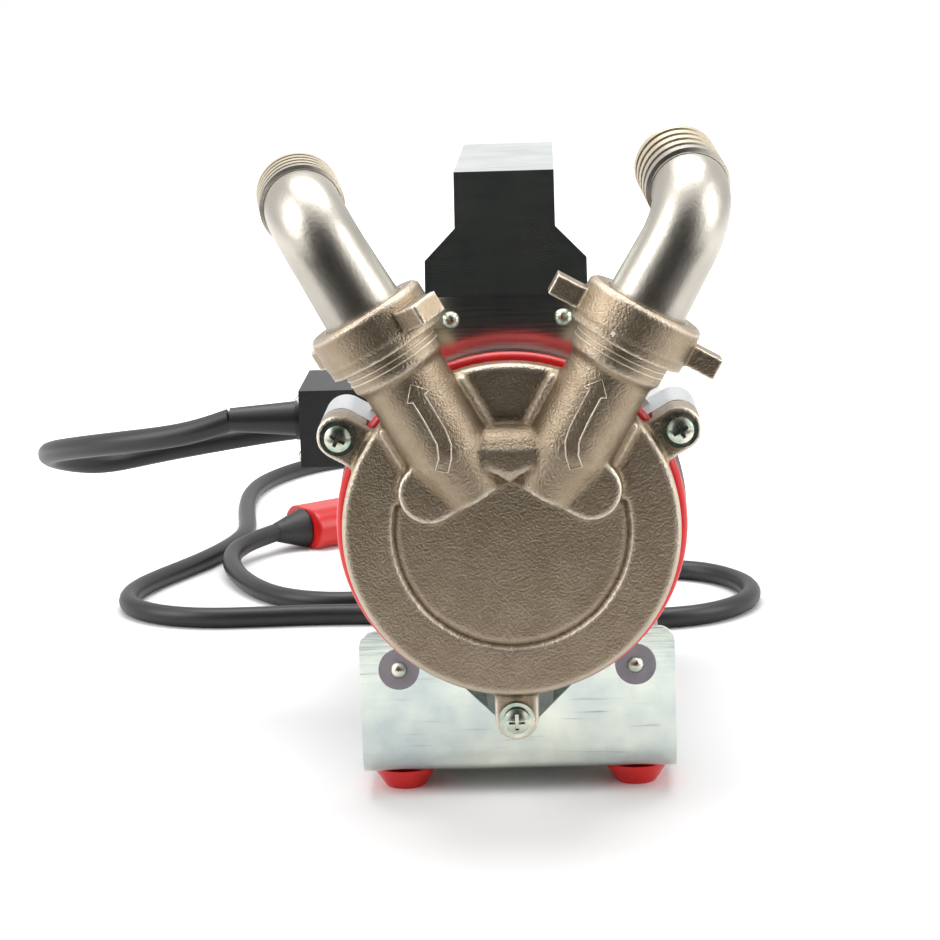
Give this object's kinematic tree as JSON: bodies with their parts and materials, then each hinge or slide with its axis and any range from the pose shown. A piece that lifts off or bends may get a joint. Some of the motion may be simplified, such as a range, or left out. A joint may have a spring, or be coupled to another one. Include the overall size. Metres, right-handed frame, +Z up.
{
  "type": "electric pump",
  "caption": "Portable electric transfer pump: cast impeller head with two swivelling hose elbows in a V, round motor, sheet steel base on feet, carrying handle, switch box and mains lead.",
  "frame": {"origin": "on the floor, under the middle of the whole pump without its lead", "axes": "+X right seen from the front, +Y back along the pump and motor axis, +Z up"},
  "size_m": [0.2718, 0.5953, 0.2102],
  "materials": {
    "cast_cover": "sand cast, nickel plated",
    "cast_nut": "sand cast, nickel plated",
    "cast_elbow": "satin, nickel plated",
    "cast_shield": "die cast",
    "motor_tube": "satin",
    "zinc_sheet": "zinc plated",
    "zinc_screw": "zinc plated",
    "spacer": "matt",
    "red_rubber": "semi-gloss",
    "black_rubber": "matt",
    "brass": "machined",
    "steel": "ground",
    "lamination": "stacked sheet",
    "winding": "varnished copper wire",
    "black_plastic": "fine grain",
    "ivory_plastic": "smooth",
    "red_plastic": "gloss"
  },
  "bodies": {
    "pump": {"pump_cover": "cast_cover", "cover_screws": "zinc_screw", "cover_washers": "zinc_screw", "red_ring": "red_rubber", "cover_oring": "black_rubber", "pump_body": "cast_shield", "shaft_seal": "black_rubber", "port_seals": "black_rubber", "front_shield": "cast_shield", "motor_casing": "motor_tube", "rear_shield": "cast_shield", "tie_rods": "steel", "tie_rod_nuts": "zinc_screw", "stator_core": "lamination", "stator_windings": "winding", "front_bearing_outer": "steel", "rear_bearing_outer": "steel", "fan_cowl": "black_plastic", "cowl_screws": "zinc_screw", "base_bracket": "zinc_sheet", "base_fasteners": "zinc_screw", "base_spacers": "spacer", "feet": "red_rubber", "foot_screws": "zinc_screw", "foot_nuts": "zinc_screw", "handle": "zinc_sheet", "handle_fasteners": "zinc_screw", "switch_box": "black_plastic", "box_lid": "black_plastic", "box_screws": "zinc_screw", "switch_body": "black_plastic", "terminal_block": "ivory_plastic", "cable_gland": "black_rubber", "capacitor": "motor_tube", "capacitor_clip": "zinc_sheet", "power_cord": "black_rubber", "plug_body": "red_plastic", "plug_cap": "black_plastic", "plug_pins": "brass"},
    "rotor": {"impeller": "brass", "impeller_key": "steel", "impeller_nut": "zinc_screw", "rotor_core": "lamination", "motor_shaft": "steel", "front_bearing_inner": "steel", "rear_bearing_inner": "steel", "cooling_fan": "black_plastic"},
    "left_nut": {"left_union_nut": "cast_nut"},
    "right_nut": {"right_union_nut": "cast_nut"},
    "left_outlet": {"left_elbow": "cast_elbow"},
    "right_outlet": {"right_elbow": "cast_elbow"},
    "rocker": {"switch_rocker": "black_plastic"}
  },
  "joints": [
    {"name": "rotor_spin", "type": "hinge", "parent": "pump", "child": "rotor", "pos_m": [0.015, 0.009, 0.092], "axis": [0, 1, 0], "continuous": true},
    {"name": "left_nut_turn", "type": "hinge", "parent": "pump", "child": "left_nut", "pos_m": [-0.02307, -0.091, 0.15319], "axis": [-0.4924, 0, 0.8704], "continuous": true},
    {"name": "right_nut_turn", "type": "hinge", "parent": "pump", "child": "right_nut", "pos_m": [0.05307, -0.091, 0.15319], "axis": [0.4924, 0, 0.8704], "continuous": true},
    {"name": "left_elbow_swivel", "type": "hinge", "parent": "pump", "child": "left_outlet", "pos_m": [-0.03193, -0.091, 0.16886], "axis": [-0.4924, 0, 0.8704], "continuous": true},
    {"name": "right_elbow_swivel", "type": "hinge", "parent": "pump", "child": "right_outlet", "pos_m": [0.06193, -0.091, 0.16886], "axis": [0.4924, 0, 0.8704], "continuous": true},
    {"name": "rocker_tilt", "type": "hinge", "parent": "pump", "child": "rocker", "pos_m": [-0.0568, 0.0476, 0.1046], "axis": [0, 0, 1], "range_deg": [-10, 10]}
  ]
}
